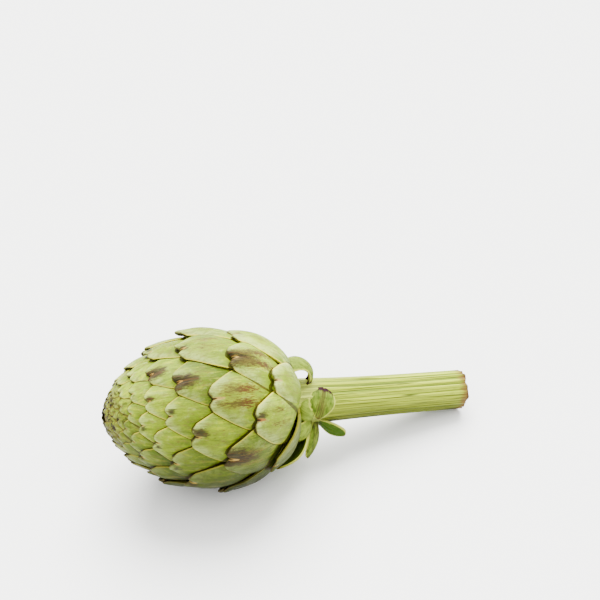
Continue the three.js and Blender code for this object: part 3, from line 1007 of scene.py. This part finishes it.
stalk, stem_down, stem_round = ball_to_stretch("stalk", 12 * STEM_RIBS, 120)
stem_share = np.clip((stem_down - START_SHARE) / (CUT_SHARE - START_SHARE), 0, 1)
stem_x = STEM_START + (CUT_X - STEM_START) * stem_share
stem_rib = np.cos(STEM_RIBS * stem_round) * (0.7 + 0.3 * np.sin(3 * stem_round + 1))
flare = NECK_FLARE * np.minimum(1, np.exp((BASE_X - stem_x) / FLARE_LENGTH))
stem_wide = STEM_RADIUS + RIB_HEIGHT * stem_rib + flare
stem_open = np.clip(stem_down / START_SHARE, 0, 1)
stem_open = stem_open * np.clip((1 - stem_down) / (1 - CUT_SHARE), 0, 1)
ragged = CUT_RAGGED * (np.sin(5 * stem_round + 2) + 0.6 * np.sin(11 * stem_round))
stem_x = stem_x + np.where(stem_down > CUT_SHARE - 0.01, ragged * stem_open, 0)
move_corners(stalk, lay_down(stem_x, stem_round, stem_wide * stem_open))
stamp(stalk, "on_stem", stem_x, stem_round * STEM_RADIUS, stem_rib)
stamp(stalk, "cut", stem_open)
face_outwards()
bpy.ops.object.shade_smooth_by_angle(angle=math.radians(40))
stalk.data.materials.append(stem_skin)
stalk.data.materials.append(cut_pith)
for face in stalk.data.polygons:
    on_cut = min(stem_down[corner] for corner in face.vertices) >= CUT_SHARE - 0.001
    face.material_index = int(on_cut)
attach(stalk, "root")
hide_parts("stem")

# ---- Floor, light and camera ---------------------------------------------------------------
# The artichoke lies on a plain pale surface, under one large soft light from behind and above, with
# pale surroundings that fill the shadows. It is seen from the front, from rather high up.
FLOOR_SIZE = 60
LIGHT_FROM = (0.18, 0.52, 0.82)
LIGHT_SPREAD = math.radians(50)
LIGHT_POWER = 12.5
SIDE_STRENGTH = 0.4
SKY_STRENGTH = 4.0
VIEW_WIDTH = 600
FOCAL_LENGTH = 1900
SENSOR_WIDTH = 36
DISTANCE = 1000
ELEVATION = math.radians(42)
AZIMUTH = math.radians(-19.7)
HEAD_IN_VIEW = (213.1, 408.5)

floor_paint, tree, shader = new_material("floor_paint")
cloud = noise(tree, object_place(tree), 3, 2)
pale = mix(tree, cloud, srgb(236, 237, 234), srgb(240, 240, 238))
plug(tree, shader.inputs["Base Color"], pale)
shader.inputs["Roughness"].default_value = 0.9
bpy.ops.object.select_all(action="DESELECT")
bpy.ops.mesh.primitive_plane_add(size=FLOOR_SIZE)
floor = bpy.context.object
floor.name = "floor"
floor.data.materials.append(floor_paint)

world = bpy.data.worlds.new("surroundings")
bpy.context.scene.world = world
world.use_nodes = True
tree = world.node_tree
_, _, upness = split(tree, tree.nodes.new("ShaderNodeTexCoord").outputs["Generated"])
background = tree.nodes["Background"]
background.inputs["Color"].default_value = (1, 1, 1, 1)
plug(tree, background.inputs["Strength"], fade(tree, upness, 0, 1, SIDE_STRENGTH, SKY_STRENGTH))

lamp = bpy.data.lights.new("window", "SUN")
lamp.angle = LIGHT_SPREAD
lamp.energy = LIGHT_POWER
window = bpy.data.objects.new("window", lamp)
bpy.context.collection.objects.link(window)
window.rotation_euler = Vector(LIGHT_FROM).to_track_quat("Z", "Y").to_euler()

head_middle = np.array(lay_down(0.0, 0.0, 0.0))
level_back = math.cos(ELEVATION)
backward = np.array(
    [math.sin(AZIMUTH) * level_back, -math.cos(AZIMUTH) * level_back, math.sin(ELEVATION)]
)
rightward = np.array([math.cos(AZIMUTH), math.sin(AZIMUTH), 0.0])
upward = np.cross(backward, rightward)
right_by, down_by = (np.array(HEAD_IN_VIEW) - VIEW_WIDTH / 2) / FOCAL_LENGTH
eye = head_middle + DISTANCE * MM * (backward - rightward * right_by + upward * down_by)

bpy.ops.object.camera_add()
camera = bpy.context.object
turned_to = np.stack([rightward, upward, backward, eye], axis=1)
camera.matrix_world = Matrix([*turned_to.tolist(), [0, 0, 0, 1]])
camera.data.sensor_width = SENSOR_WIDTH
camera.data.lens = SENSOR_WIDTH * FOCAL_LENGTH / VIEW_WIDTH
camera.data.clip_start = 0.01
bpy.context.scene.camera = camera
